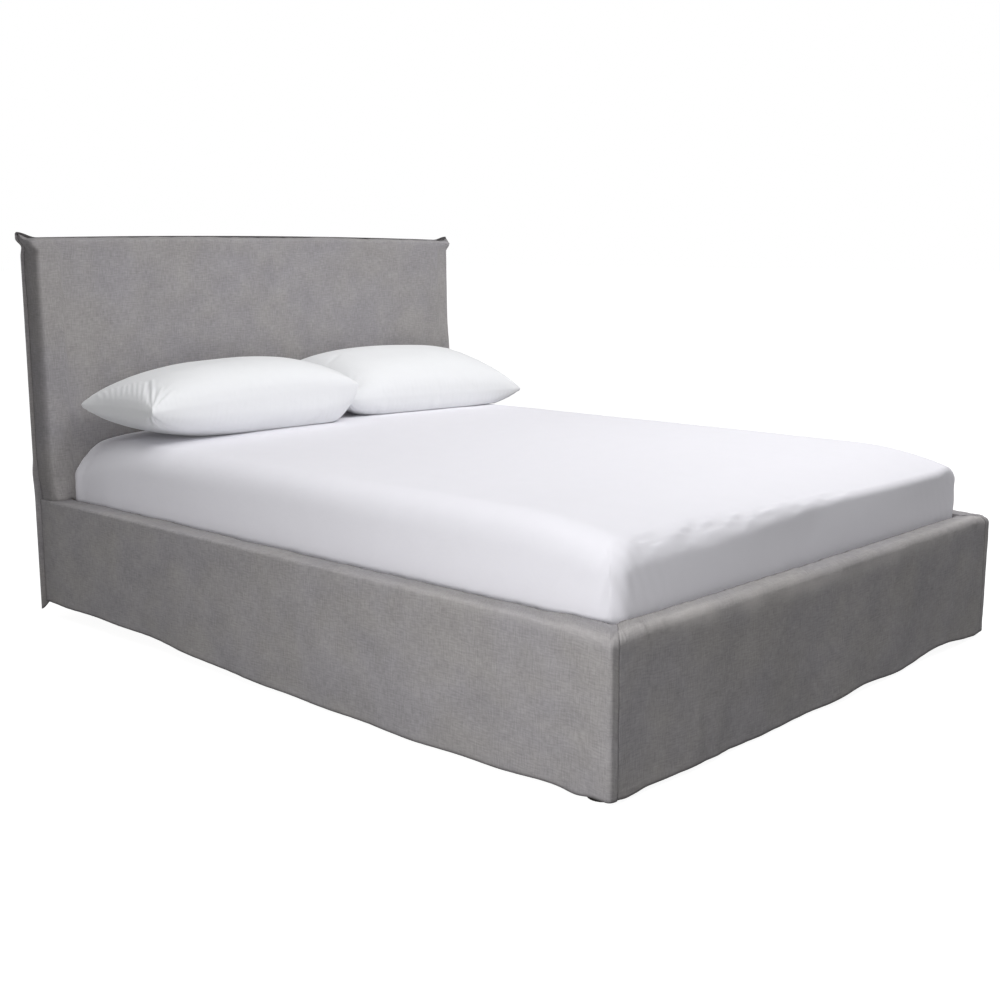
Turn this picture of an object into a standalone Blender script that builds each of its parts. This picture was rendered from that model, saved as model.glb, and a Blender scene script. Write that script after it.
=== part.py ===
"""Bedding set on a bed with a loose linen cover.

Metres, +Z up, -Y is the foot of the bed, origin on the floor under the middle.
A timber bed stands on round feet. A loose linen cover of five sewn panels hangs over
its headboard and rails, a fitted sheet is pulled over the mattress, and two filled
pillows lie against the headboard.
"""
import math

import bmesh
import bpy

# ---- driving dimensions ----
COVER_WIDTH = 1.710         # across the loose cover at its seams
COVER_LENGTH = 2.165        # foot face to the back of the headboard
RAIL_TOP = 0.351            # upper side of the cover on the rails
HEAD_TOP = 1.118            # seam along the top of the headboard, above its ends
HEAD_DEPTH = 0.070          # cover's front to back at the headboard
MATTRESS_WIDTH = 1.530      # over the fitted sheet
MATTRESS_LENGTH = 2.026
SHEET_TOP = 0.5365          # top of the sheet along its long edges
CORNER_DROP = 0.036         # how far the mattress's head corners are drawn down
FOOT_DROP = 0.052           # how far its foot end is, at most
LINEN = 0.0020              # thickness of the cover's cloth
PERCALE = 0.0020            # thickness of the fitted sheet
GAP = 0.0003                # left between pieces that touch
LOOSE = 0.0005              # left between cloth and what it lies on
FRAME_BOTTOM = 0.050        # height of the round feet
SLAT_TOP = 0.250

# ---- sizes that follow ----
HALF_L = COVER_LENGTH / 2
BACK_FACE = HALF_L - LINEN                  # inner side of the back panel
HEAD_FRONT = HALF_L - HEAD_DEPTH            # front of the covered headboard
HALF_MW = MATTRESS_WIDTH / 2
FOOT_GAP = 0.066                            # foot of the mattress to the foot face
MATTRESS_FOOT = -HALF_L + FOOT_GAP
MATTRESS_HEAD = MATTRESS_FOOT + MATTRESS_LENGTH
MATTRESS_MID = (MATTRESS_FOOT + MATTRESS_HEAD) / 2
TUCK = 0.0025                               # room between sheet and rail cover
RAIL_IN = HALF_MW + 0.022                   # inner face of a side rail
RAIL_OUT = 0.832
RAIL_UNDER_COVER = RAIL_TOP - LINEN - LOOSE
FOOT_RAIL_IN = MATTRESS_FOOT - 0.017
FOOT_RAIL_OUT = -HALF_L + 0.0205
FRAME_BACK = BACK_FACE - 0.002
BOARD_FRONT = HEAD_FRONT + LINEN + LOOSE

# ---- colours, linear ----
LINEN_GREY = (0.265, 0.262, 0.268)
COTTON = (0.86, 0.86, 0.88)
TICKING = (0.70, 0.69, 0.66)
TIMBER = (0.42, 0.29, 0.17)
STAINED = (0.020, 0.018, 0.016)


def clear_scene():
    for obj in list(bpy.data.objects):
        bpy.data.objects.remove(obj, do_unlink=True)


def new_collection(name):
    col = bpy.data.collections.new(name)
    bpy.context.scene.collection.children.link(col)
    return col


def material(name, colour, roughness):
    mat = bpy.data.materials.new(name)
    mat.use_nodes = True
    shader = mat.node_tree.nodes["Principled BSDF"]
    shader.inputs["Base Color"].default_value = (*colour, 1.0)
    shader.inputs["Roughness"].default_value = roughness
    shader.inputs["Metallic"].default_value = 0.0
    return mat


def add_object(name, bm, mat, smooth=40.0):
    """Link a bmesh as a named object of the part."""
    mesh = bpy.data.meshes.new(name)
    bm.to_mesh(mesh)
    bm.free()
    mesh.materials.append(mat)
    mesh.shade_smooth()
    mesh.set_sharp_from_angle(angle=math.radians(smooth))
    obj = bpy.data.objects.new(name, mesh)
    BED.objects.link(obj)
    return obj


def smoothstep(a, b, x):
    t = min(1.0, max(0.0, (x - a) / (b - a)))
    return t * t * (3 - 2 * t)


def mix(a, b, t):
    return a + (b - a) * t


def bump(x, centre, width):
    return math.exp(-((x - centre) / width) ** 2)


# ---- plain timber pieces ----
def box(name, lo, hi, mat, bevel=0.0):
    """A board between two corners, its edges eased by bevel."""
    bm = bmesh.new()
    bmesh.ops.create_cube(bm, size=1.0)
    size = [b - a for a, b in zip(lo, hi)]
    mid = [(a + b) / 2 for a, b in zip(lo, hi)]
    bmesh.ops.scale(bm, vec=size, verts=bm.verts)
    obj = add_object(name, bm, mat)
    obj.location = mid
    if bevel:
        mod = obj.modifiers.new("eased", 'BEVEL')
        mod.width = bevel
        mod.segments = 2
    return obj


def round_foot(name, x, y, radius, top, mat):
    bm = bmesh.new()
    bmesh.ops.create_cone(bm, cap_ends=True, segments=24, radius1=radius * 0.94,
                          radius2=radius, depth=top)
    obj = add_object(name, bm, mat)
    obj.location = (x, y, top / 2)
    return obj


def bed_frame():
    """Rails, cleats, slats, middle beam and feet, all hidden by the cover."""
    rail_z = (FRAME_BOTTOM, RAIL_UNDER_COVER)
    for side, name in ((-1, "side_rail_left"), (1, "side_rail_right")):
        xs = sorted((side * RAIL_IN, side * RAIL_OUT))
        box(name, (xs[0], FOOT_RAIL_OUT, rail_z[0]), (xs[1], FRAME_BACK, rail_z[1]),
            wood, 0.012)
    inner = RAIL_IN - GAP
    box("foot_rail", (-inner, FOOT_RAIL_OUT, rail_z[0]), (inner, FOOT_RAIL_IN, rail_z[1]),
        wood, 0.012)
    box("head_rail", (-HALF_MW, BOARD_FRONT + 0.001, rail_z[0]),
        (HALF_MW, FRAME_BACK, RAIL_TOP + 0.0022), wood, 0.003)

    slat_thick, slat_wide, count = 0.020, 0.095, 11
    slat_low = SLAT_TOP - GAP - slat_thick
    cleat_top = slat_low - GAP
    cleat = 0.030
    slat_end = inner - 0.003
    for side, name in ((-1, "cleat_left"), (1, "cleat_right")):
        xs = sorted((side * (inner - cleat), side * inner))
        box(name, (xs[0], MATTRESS_FOOT, cleat_top - cleat),
            (xs[1], MATTRESS_HEAD, cleat_top), wood, 0.002)
    beam_half, beam_deep = 0.022, 0.060
    box("middle_beam", (-beam_half, FOOT_RAIL_IN + GAP, cleat_top - beam_deep),
        (beam_half, BOARD_FRONT + 0.001 - GAP, cleat_top), wood, 0.002)
    first = MATTRESS_FOOT + slat_wide / 2 + 0.01
    last = MATTRESS_HEAD - slat_wide / 2 - 0.01
    for i in range(count):
        y = mix(first, last, i / (count - 1))
        box(f"slat_{i + 1:02d}", (-slat_end, y - slat_wide / 2, slat_low),
            (slat_end, y + slat_wide / 2, SLAT_TOP - GAP), wood)

    foot_top = FRAME_BOTTOM - GAP
    front_x, back_x = RAIL_OUT - 0.028, HALF_MW - 0.045
    for sign, side in ((-1, "left"), (1, "right")):
        round_foot(f"foot_front_{side}", sign * front_x, FOOT_RAIL_OUT + 0.034, 0.034,
                   foot_top, dark)
        round_foot(f"foot_back_{side}", sign * back_x, FRAME_BACK - 0.031, 0.030,
                   foot_top, dark)
    round_foot("foot_middle", 0.0, 0.0, 0.028, cleat_top - beam_deep - GAP, dark)


def headboard_board():
    """The board of the headboard, standing on the head rail, its front edges rounded."""
    half_w, top, low = 0.765, HEAD_TOP - 0.010, RAIL_TOP + 0.0025
    bm = bmesh.new()
    bmesh.ops.create_cube(bm, size=1.0)
    bmesh.ops.scale(bm, vec=(2 * half_w, FRAME_BACK - BOARD_FRONT, top - low), verts=bm.verts)
    bmesh.ops.translate(bm, vec=(0, (FRAME_BACK + BOARD_FRONT) / 2, (top + low) / 2),
                        verts=bm.verts)
    mid_z = (top + low) / 2
    rounded = [e for e in bm.edges
               if (all(v.co.y < BOARD_FRONT + 0.001 for v in e.verts)
                   and any(v.co.z > mid_z for v in e.verts))]
    bmesh.ops.bevel(bm, geom=rounded, offset=0.057, segments=6, profile=0.5,
                    affect='EDGES', clamp_overlap=True)
    return add_object("headboard_board", bm, wood)


# ---- mattress and fitted sheet ----
def soft_form(x, y, z, inset, low):
    """A point of a box carried onto the mattress's crowned form.

    x and y run from -1 to 1 over the box and z from 0 to 1. Its long sides are rounded
    over the top, the near one more than the far one and most of all at the headboard.
    Its ends are rounded less. Its foot end and its head corners are drawn down.
    """
    half_l = MATTRESS_LENGTH / 2
    near = smoothstep(0.2, -0.8, x)
    head = smoothstep(0.70, 1.0, y)
    ends = mix(0.045, 0.024, head)
    foot = mix(0.050, 0.026, smoothstep(-0.7, 0.2, x))
    ends = mix(ends, foot, smoothstep(-0.80, -0.98, y))
    core = 0.052 + 0.022 * near + 0.030 * near * head - ends
    ends += 11 * inset
    a, b, top = HALF_MW - inset, half_l - inset, SHEET_TOP - inset
    p = [x * a, y * b, mix(low, top, z)]
    side = a - ends - core
    q = [max(-side, min(side, p[0])), max(ends - b, min(b - ends, p[1])),
         min(top - ends - core, p[2])]
    out = math.hypot(p[0] - q[0], p[2] - q[2])
    if out > 1e-9:
        share = min(1.0, core / out)
        q[0] += (p[0] - q[0]) * share
        q[2] += (p[2] - q[2]) * share
    d = [u - v for u, v in zip(p, q)]
    length = math.hypot(*d)
    if length > 1e-9:
        p = [v + c * ends / length for v, c in zip(q, d)]
    u, v = abs(p[0]) / HALF_MW, abs(p[1]) / half_l
    lift = 0.0170 * max(0.0, 1 - u * u) * max(0.0, 1 - v * v) ** 0.9
    reach = 0.30
    drop_x = max(0.0, (abs(p[0]) - HALF_MW + reach) / reach)
    drop_y = max(0.0, (abs(p[1]) - half_l + reach) / reach)
    if p[1] < 0:
        far = p[0] / HALF_MW
        depth = mix(CORNER_DROP, FOOT_DROP, smoothstep(-0.65, 0.50, far))
        drop = (depth - 0.012 * smoothstep(0.85, 1.0, far)) * drop_y ** 2
    else:
        drop = CORNER_DROP * (drop_x * drop_y) ** 2
    share = smoothstep(RAIL_TOP, SHEET_TOP - 0.03, p[2])
    p[2] += (lift - drop) * share
    p[1] += MATTRESS_MID
    return p


def sheet_height(x, y):
    """Top of the fitted sheet under a point of a pillow."""
    return soft_form(x / HALF_MW, (y - MATTRESS_MID) / (MATTRESS_LENGTH / 2), 1.0, 0.0,
                     RAIL_TOP)[2]


def even_box(cuts):
    """A unit cube cut into an even grid on every face, corners at -1 and 1."""
    bm = bmesh.new()
    bmesh.ops.create_cube(bm, size=2.0)
    for axis, count in enumerate(cuts):
        others = [i for i in range(3) if i != axis]
        along = [e for e in bm.edges
                 if all(abs(e.verts[0].co[i] - e.verts[1].co[i]) < 1e-6 for i in others)]
        if count > 1:
            bmesh.ops.subdivide_edges(bm, edges=along, cuts=count - 1, use_grid_fill=True)
    return bm


def crowd(t, strength):
    """Move even steps from -1 to 1 towards both ends."""
    return mix(t, math.sin(t * math.pi / 2), strength)


def mattress():
    bm = even_box((10, 12, 3))
    for v in bm.verts:
        x, y, z = crowd(v.co.x, 0.9), crowd(v.co.y, 0.9), (v.co.z + 1) / 2
        v.co = soft_form(x, y, math.sin(z * math.pi / 2), PERCALE + 2 * LOOSE, SLAT_TOP)
    return add_object("mattress", bm, ticking, 60)


def fitted_sheet():
    """A cotton sheet pulled over the mattress, down past the top of the rails."""
    bm = even_box((16, 18, 6))
    under = [f for f in bm.faces if f.normal.z < -0.5]
    bmesh.ops.delete(bm, geom=under, context='FACES')
    low = 0.290
    for v in bm.verts:
        x, y, z = crowd(v.co.x, 0.95), crowd(v.co.y, 0.95), (v.co.z + 1) / 2
        v.co = soft_form(x, y, math.sin(z * math.pi / 2), 0.0, low)
    obj = add_object("fitted_sheet", bm, cotton, 60)
    thicken(obj, PERCALE, -1.0)
    return obj


def thicken(obj, thickness, offset, even=True):
    """Give an open sheet its cloth's thickness."""
    mod = obj.modifiers.new("cloth", 'SOLIDIFY')
    mod.thickness = thickness
    mod.offset = offset
    mod.use_even_offset = even


# ---- pillows ----
def pillow(name, x, y, turn, half_w, half_d, seam_z, tilt, crown, drawn, belly):
    """One filled pillow: a crowned bag with a knife edge, flat where it lies on the sheet.

    drawn is how far its ends and its long sides are drawn in between the corners, and
    belly the power of its underside and how much fuller that is at the right end.
    """
    bm = even_box((18, 12, 1))
    edge = 0.0035
    for v in bm.verts:
        u, w = crowd(v.co.x, 0.55), crowd(v.co.y, 0.55)
        upper = v.co.z > 0
        px = half_w * u * (1 - drawn[0] * (1 - w * w))
        py = half_d * w * (1 - drawn[1] * (1 - u * u))
        gx = x + px * math.cos(turn) - py * math.sin(turn)
        gy = y + px * math.sin(turn) + py * math.cos(turn)
        full = max(0.0, (1 - abs(u) ** 2.6) * (1 - abs(w) ** 2.4))
        seam = seam_z + tilt[0] * u + tilt[1] * w
        if upper:
            gz = seam + edge / 2 + crown * full ** 0.455
        else:
            deep = (seam_z - SHEET_TOP) * 1.14 * (1 + belly[1] * u) * full ** belly[0]
            off_edge = 0.003 * smoothstep(0.55, 0.72, abs(gx))
            gz = max(sheet_height(gx, gy) + LOOSE + off_edge, seam - edge / 2 - deep)
        v.co = (gx, gy, gz)
    return add_object(name, bm, cotton, 50)


# ---- loose cover ----
def grid(columns, rows):
    """A flat grid of columns by rows cells between 0 and 1."""
    bm = bmesh.new()
    bmesh.ops.create_grid(bm, x_segments=columns, y_segments=rows, size=0.5)
    bmesh.ops.translate(bm, vec=(0.5, 0.5, 0.0), verts=bm.verts)
    return bm


def walk(points, distance):
    """The point at a distance along a line of points."""
    left = distance
    for a, b in zip(points, points[1:]):
        step = math.dist(a, b)
        if left <= step or b is points[-1]:
            t = left / step
            return tuple(mix(p, q, t) for p, q in zip(a, b))
        left -= step
    return points[-1]


def length_of(points):
    return sum(math.dist(a, b) for a, b in zip(points, points[1:]))


def side_hem(y):
    """Height of the long sides' hem: lifted at the head, lowest past the middle."""
    t = smoothstep(-0.20, 0.85, y)
    swells = 0.0060 * bump(y, -0.92, 0.10) + 0.0040 * bump(y, 0.12, 0.09)
    return 0.0085 + 0.034 * t + swells


def foot_hem(x):
    """Height of the foot's hem: low on the near half, lifted on the far one."""
    swells = 0.006 * bump(x, -0.58, 0.16) + 0.010 * bump(x, 0.14, 0.14)
    return 0.0085 + swells + 0.019 * bump(x, 0.60, 0.13) + 0.004 * bump(x, -0.83, 0.1)


def hem_wave(s, seed):
    """Sideways wave of a hanging panel at its hem, in metres."""
    return 0.0045 * math.sin(9.0 * s + seed) + 0.0030 * math.sin(21.0 * s + 2.1 * seed)


def rail_cover_point(inner, outer, t, hem, wave, r_in, r_out):
    """A point on a rail cover's section.

    The cloth rises from its tucked edge on the inner line, rolls over the rail and hangs
    from the outer line to the hem.
    """
    tuck_z = 0.262
    width = math.dist(inner, outer)
    line = [(0.0, tuck_z), (0.0, RAIL_TOP - r_in)]
    for k in (1, 2, 3):
        a = k * math.pi / 6
        line.append((r_in - r_in * math.cos(a), RAIL_TOP - r_in + r_in * math.sin(a)))
    line.append((width * 0.5, RAIL_TOP))
    for k in range(5):
        a = k * math.pi / 8
        line.append((width - r_out + r_out * math.sin(a),
                     RAIL_TOP - r_out + r_out * math.cos(a)))
    line.append((width, hem))
    across, z = section_row(line, t)
    fall = smoothstep(RAIL_TOP - r_out, hem, z)
    across += wave * fall * (1 if t > 0.5 else 0)
    x = mix(inner[0], outer[0], across / width)
    y = mix(inner[1], outer[1], across / width)
    return x, y, z


def section_row(line, t):
    """The point of a rail cover's section at its row: one row to each bend, six down
    the hanging panel."""
    rows_down = 6
    bends = len(line) - 1
    row = t * (bends - 1 + rows_down)
    if row <= bends - 1:
        k = int(min(row, bends - 2))
        return tuple(mix(a, b, row - k) for a, b in zip(line[k], line[k + 1]))
    f = (row - (bends - 1)) / rows_down
    return tuple(mix(a, b, f) for a, b in zip(line[-2], line[-1]))


RAIL_ROWS = 10 + 6
CORNER = 0.012              # radius of the cover's foot corners
WRAP = 0.017                # the side panels' turn onto the foot face
FOOT_ROLLS = (0.020, 0.018)     # inner and outer roll of the foot panel over its rail


def side_rolls(y):
    """Inner and outer roll of the side panels: wide inside past the middle, crisp outside
    but for the foot corner."""
    inner = mix(0.032, 0.013, smoothstep(0.0, 0.6, y))
    inner = mix(FOOT_ROLLS[0], inner, smoothstep(-1.0, -0.90, y))
    return inner, mix(FOOT_ROLLS[1], 0.006, smoothstep(-1.06, -0.90, y))


def side_outer(y):
    """Half width of the side panels: close at the headboard, full at the foot."""
    return mix(COVER_WIDTH / 2 - 0.002, 0.8395, smoothstep(-0.6, 1.0, y))


def side_lines(side):
    """The inner and the outer line of a side cover, from the head to the foot seam."""
    wide = side_outer(-HALF_L)
    edge_x = HALF_MW + TUCK
    foot_y = MATTRESS_FOOT - TUCK
    count = 24
    head = BACK_FACE - LOOSE
    outer = [(side_outer(y), y) for y in
             (mix(head, -HALF_L + CORNER, i / count) for i in range(count + 1))]
    for k in range(1, 5):
        a = k * math.pi / 8
        outer.append((wide - CORNER + CORNER * math.cos(a),
                      -HALF_L + CORNER - CORNER * math.sin(a)))
    outer.append((wide - WRAP, -HALF_L))
    inner = [(edge_x, y) for y in
             (mix(head, foot_y + 0.010, i / count) for i in range(count + 1))]
    turn = 0.006
    for k in range(1, 5):
        a = k * math.pi / 8
        inner.append((edge_x - turn + turn * math.cos(a),
                      foot_y + turn - turn * math.sin(a)))
    inner.append((edge_x - 0.010, foot_y))
    flip = lambda pts: [(side * px, py) for px, py in pts]
    return flip(inner), flip(outer)


def side_cover(name, side):
    """A long side's panel: tucked beside the mattress, over the rail, down to the hem
    and round the foot corner to its seam."""
    inner, outer = side_lines(side)
    columns = len(inner) - 1
    bm = grid(columns, RAIL_ROWS)
    for v in bm.verts:
        i = round(v.co.x * columns)
        y = outer[i][1]
        hem = side_hem(y)
        if i > 24:
            hem = mix(hem, 0.0125, (i - 24) / (columns - 24))
        calm = smoothstep(-HALF_L, -HALF_L + 0.15, y) * smoothstep(HALF_L, HALF_L - 0.15, y)
        wave = hem_wave(y, 1.0 + side) * calm
        v.co = rail_cover_point(inner[i], outer[i], v.co.y, hem, wave, *side_rolls(y))
    if side > 0:
        bmesh.ops.reverse_faces(bm, faces=bm.faces)
    obj = add_object(name, bm, linen, 60)
    thicken(obj, LINEN, 1.0)
    return obj


def foot_cover():
    """The foot's panel, between the two corner seams."""
    (in_x, in_y), (out_x, out_y) = (line[-1] for line in side_lines(1))
    seam = 0.0014
    in_x, out_x = in_x - seam, out_x - seam
    columns = 20
    bm = grid(columns, RAIL_ROWS)
    for v in bm.verts:
        s = 2 * v.co.x - 1
        inner = (in_x * s, in_y)
        outer = (out_x * s, out_y)
        x = outer[0]
        calm = smoothstep(1.0, 0.8, abs(s))
        wave = (hem_wave(x, 0.4) + 0.001) * calm
        hem = mix(0.0125, foot_hem(x), smoothstep(1.0, 0.9, abs(s)))
        v.co = rail_cover_point(inner, outer, v.co.y, hem, wave, *FOOT_ROLLS)
    obj = add_object("cover_foot", bm, linen, 60)
    thicken(obj, LINEN, 1.0)
    return obj


def top_seam(x):
    """Height of the headboard's top seam: a slight crown, dips beside the corners and
    a pointed ear at each end."""
    ear = 0.016 if x < 0 else 0.013
    return (HEAD_TOP + 0.007 - 0.0085 * (x / 0.8) ** 2
            + ear * smoothstep(0.800, 0.862, abs(x)))


def seam_half_width(z, side):
    """Half width at the headboard's side seams, with the ear standing out at the top."""
    out = 0.0180 if side < 0 else 0.0160
    ear = out * smoothstep(1.088, 1.112, z)
    notch = 0.002 * bump(z, 1.086, 0.015)
    return 0.8460 + ear - notch


def head_section(side, depth, share, z):
    """Half of the headboard cover's section at one height, from the side seam to the
    middle. The near side turns sharply, the far one in a long soft bevel."""
    xs = seam_half_width(z, side)
    if side < 0:
        ax = mix(0.050, 0.024, smoothstep(0.75, 1.05, z))
        ay = min(0.92 * depth, ax)
    else:
        ax = mix(0.050, 0.110, smoothstep(0.62, 1.06, z))
        ay = min(0.95 * depth, mix(0.050, 0.068, smoothstep(0.62, 0.90, z)))
    ax = mix(ax, 0.016, smoothstep(0.5, 1.0, share))
    xs = mix(0.8405, xs, smoothstep(RAIL_TOP, 0.50, z))
    back = BACK_FACE - LOOSE - 0.0016 * smoothstep(1.06, 1.10, z)
    front = back - depth
    pts = [(side * xs, back)]
    steps = 8
    for k in range(steps + 1):
        a = k * math.pi / 2 / steps
        pts.append((side * (xs - ax + ax * math.cos(a)), front + ay - ay * math.sin(a)))
    pts.append((0.0, front))
    return pts


def cover_headboard():
    """The headboard's front panel, turned round both sides to the back seams and drawn
    over the top to the top seam, with its two ears."""
    near_steps = (0.0, 0.014, 0.030, 0.046, 0.062, 0.082, 0.115, 0.18)
    spare = 6
    half = len(near_steps) - 1 + spare
    columns = 2 * half
    straight_rows, round_rows = 9, 5
    rows = straight_rows + round_rows
    rise = 0.046
    low = RAIL_TOP + 0.0025
    full_depth = HEAD_DEPTH - LINEN - LOOSE
    bm = grid(columns, rows)
    for v in bm.verts:
        i, j = round(v.co.x * columns), round(v.co.y * rows)
        side = -1 if i <= half else 1
        k = i if side < 0 else columns - i
        across = 0.857 * (1 - min(1.0, k / half)) * side
        top = top_seam(across) - 0.0045
        share = max(0.0, (j - straight_rows) / round_rows)
        angle = share * math.pi / 2
        z = mix(low, top - rise, min(1.0, j / straight_rows)) + rise * math.sin(angle)
        depth = 0.002 + (full_depth - 0.002) * math.cos(angle)
        pts = head_section(side, depth, share, z)
        total = length_of(pts)
        if k < len(near_steps):
            s = near_steps[k]
        else:
            s = mix(near_steps[-1], total, (k - len(near_steps) + 1) / spare)
        x, y = walk(pts, s)
        v.co = (x, y, z)
    obj = add_object("cover_headboard", bm, linen, 60)
    thicken(obj, LINEN, -1.0, even=False)
    return obj


def cover_back():
    """The back panel, one flat width from the top seam to the floor. It stands past
    the side seams as a narrow flange."""
    columns, rows = 14, 14
    bm = grid(columns, rows)
    for v in bm.verts:
        s = 2 * v.co.x - 1
        side = -1 if s < 0 else 1
        t = v.co.y
        hem = mix(0.020, 0.046, smoothstep(1.0, 0.95, abs(s)))
        guess = mix(hem, HEAD_TOP, t)
        flange = mix(0.0175, 0.0105, smoothstep(0.42, 0.48, guess))
        flange -= 0.0045 * smoothstep(1.05, 1.10, guess)
        top = top_seam(0.862 * crowd(s, 0.75))
        z = mix(hem + 0.006 * math.sin(7 * s + 1.0) * (1 - abs(s)), top, crowd(2 * t - 1, 0.75)
                / 2 + 0.5)
        half_w = mix(side_outer(HALF_L), seam_half_width(z, side),
                     smoothstep(RAIL_TOP, 0.50, z)) + flange
        if t > 0.999:
            half_w -= 0.004
        v.co = (half_w * crowd(s, 0.75), BACK_FACE, z)
    obj = add_object("cover_back", bm, linen, 60)
    thicken(obj, LINEN, -1.0)
    return obj


clear_scene()
BED = new_collection("bedding_set_on_bed")
linen = material("washed_linen", LINEN_GREY, 0.95)
cotton = material("cotton_percale", COTTON, 0.90)
ticking = material("mattress_ticking", TICKING, 0.95)
wood = material("pine", TIMBER, 0.70)
dark = material("stained_beech", STAINED, 0.50)

bed_frame()
headboard_board()
mattress()
fitted_sheet()
pillow("pillow_left", -0.378, 0.784, 0.033, 0.382, 0.181, 0.651, (0.007, -0.006), 0.105,
       (0.038, 0.075), (0.36, 0.34))
pillow("pillow_right", 0.425, 0.835, -0.019, 0.405, 0.163, 0.637, (-0.011, 0.039), 0.104,
       (0.047, 0.050), (0.45, 0.0))
side_cover("cover_side_left", -1)
side_cover("cover_side_right", 1)
foot_cover()
cover_headboard()
cover_back()
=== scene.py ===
"""Bedding set on a bed with a loose linen cover: frame, mattress, sheet, cover, pillows."""
import math

import bmesh
import bpy
import numpy as np
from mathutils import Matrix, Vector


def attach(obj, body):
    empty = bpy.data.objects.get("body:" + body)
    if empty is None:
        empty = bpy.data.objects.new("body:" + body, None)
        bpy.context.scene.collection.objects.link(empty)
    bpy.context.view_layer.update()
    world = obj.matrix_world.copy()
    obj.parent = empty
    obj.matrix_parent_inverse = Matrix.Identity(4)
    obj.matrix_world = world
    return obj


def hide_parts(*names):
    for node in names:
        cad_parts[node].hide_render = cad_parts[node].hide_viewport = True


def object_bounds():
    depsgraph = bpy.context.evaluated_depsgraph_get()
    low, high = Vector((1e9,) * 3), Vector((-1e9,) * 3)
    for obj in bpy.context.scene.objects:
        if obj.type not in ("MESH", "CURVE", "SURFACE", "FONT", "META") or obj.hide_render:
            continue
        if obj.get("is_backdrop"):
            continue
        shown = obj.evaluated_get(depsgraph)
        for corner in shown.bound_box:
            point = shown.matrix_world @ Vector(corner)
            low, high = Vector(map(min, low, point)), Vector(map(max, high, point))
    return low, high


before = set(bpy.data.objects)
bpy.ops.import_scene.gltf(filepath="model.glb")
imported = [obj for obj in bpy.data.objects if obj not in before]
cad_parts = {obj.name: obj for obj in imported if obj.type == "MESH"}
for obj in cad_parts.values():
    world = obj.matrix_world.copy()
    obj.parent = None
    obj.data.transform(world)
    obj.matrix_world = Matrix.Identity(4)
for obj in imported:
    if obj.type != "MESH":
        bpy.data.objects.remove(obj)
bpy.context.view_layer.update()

# ---- Timber frame ----
# Planed softwood rails, slats, cleats and a headboard of board, screwed together. The
# wood is left bare: pale, dull, with darker lines of summer wood along each board.


def linear(code):
    """An sRGB colour written as six hex digits, as linear RGBA."""
    parts = [int(code[i:i + 2], 16) / 255 for i in (0, 2, 4)]
    return (*[c / 12.92 if c <= 0.04045 else ((c + 0.055) / 1.055) ** 2.4
              for c in parts], 1.0)


def add_node(tree, kind, inputs=(), **settings):
    """One shader node, with its settings and each input's value or link."""
    made = tree.nodes.new(kind)
    for key, value in settings.items():
        setattr(made, key, value)
    for key, value in dict(inputs).items():
        if isinstance(value, bpy.types.NodeSocket):
            tree.links.new(value, made.inputs[key])
        else:
            made.inputs[key].default_value = value
    return made


def new_finish(name, **sockets):
    """A material, its node tree and its shader, with the shader's plain values set."""
    mat = bpy.data.materials.new(name)
    mat.use_nodes = True
    shader = mat.node_tree.nodes["Principled BSDF"]
    for key, value in sockets.items():
        shader.inputs[key.replace("_", " ")].default_value = value
    return mat, mat.node_tree, shader


def planed_wood(name, pale, deep, grain_mm, along):
    """Bare planed wood, its grain lines grain_mm apart and drawn out along one axis."""
    mat, tree, shader = new_finish(name, Roughness=0.62, IOR=1.5)
    drawn_out = [1000 / grain_mm] * 3
    drawn_out[along] = 1000 / (grain_mm * 70)           # 70 times as long as apart
    where = add_node(tree, "ShaderNodeTexCoord").outputs["Object"]
    spread = add_node(tree, "ShaderNodeVectorMath", {0: where, 1: drawn_out},
                      operation='MULTIPLY').outputs[0]
    grain = add_node(tree, "ShaderNodeTexNoise", {
        "Vector": spread, "Scale": 1.0, "Detail": 3.0, "Distortion": 0.8}).outputs[0]
    lines = add_node(tree, "ShaderNodeMapRange", {0: grain, 1: 0.38, 2: 0.62}).outputs[0]
    colour = add_node(tree, "ShaderNodeMix", {0: lines, 6: linear(pale), 7: linear(deep)},
                      data_type='RGBA').outputs[2]
    raised = add_node(tree, "ShaderNodeBump", {
        "Height": lines, "Strength": 0.25, "Distance": 0.0004}).outputs[0]
    tree.links.new(colour, shader.inputs["Base Color"])
    tree.links.new(raised, shader.inputs["Normal"])
    return mat


pine_lengthwise = planed_wood("planed_pine_lengthwise", "D2B083", "B4875A", 6.0, 1)
pine_crosswise = planed_wood("planed_pine_crosswise", "D2B083", "B4875A", 6.0, 0)
stained_beech = planed_wood("stained_beech", "2A2623", "1B1816", 2.5, 2)
for name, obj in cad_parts.items():
    if name.startswith("foot_") and name != "foot_rail":
        wood = stained_beech
    elif name.startswith(("side_rail", "cleat", "middle_beam")):
        wood = pine_lengthwise
    else:
        wood = pine_crosswise
    for slot in obj.material_slots:
        slot.material = wood

# ---- Mattress ----
# A pocketed mattress in a knitted white ticking, hidden by the sheet. The ticking is
# quilted to a thin wadding in soft squares, which gives it a shallow regular swell.
MATTRESS_W, MATTRESS_L = 1.530, 2.026       # over the fitted sheet
MATTRESS_Y = -0.0035                        # its middle, from the bed's middle
CROWN = 0.0170                              # of its top over the long edges
CORNER_DROP, FOOT_DROP = 0.036, 0.052       # of its corners, and of the foot's far end
DROP_REACH = 0.30                           # how far in from the ends they begin
SHEET_TOP = 0.5365                          # along the long edges
CLOTH = 0.0020                              # thickness of every cloth
LOOSE = 0.0005                              # between a cloth and what it lies on
RAIL_TOP = 0.351
QUILT, QUILT_DEPTH = 0.155, 0.0012          # side and depth of a quilted square


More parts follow.
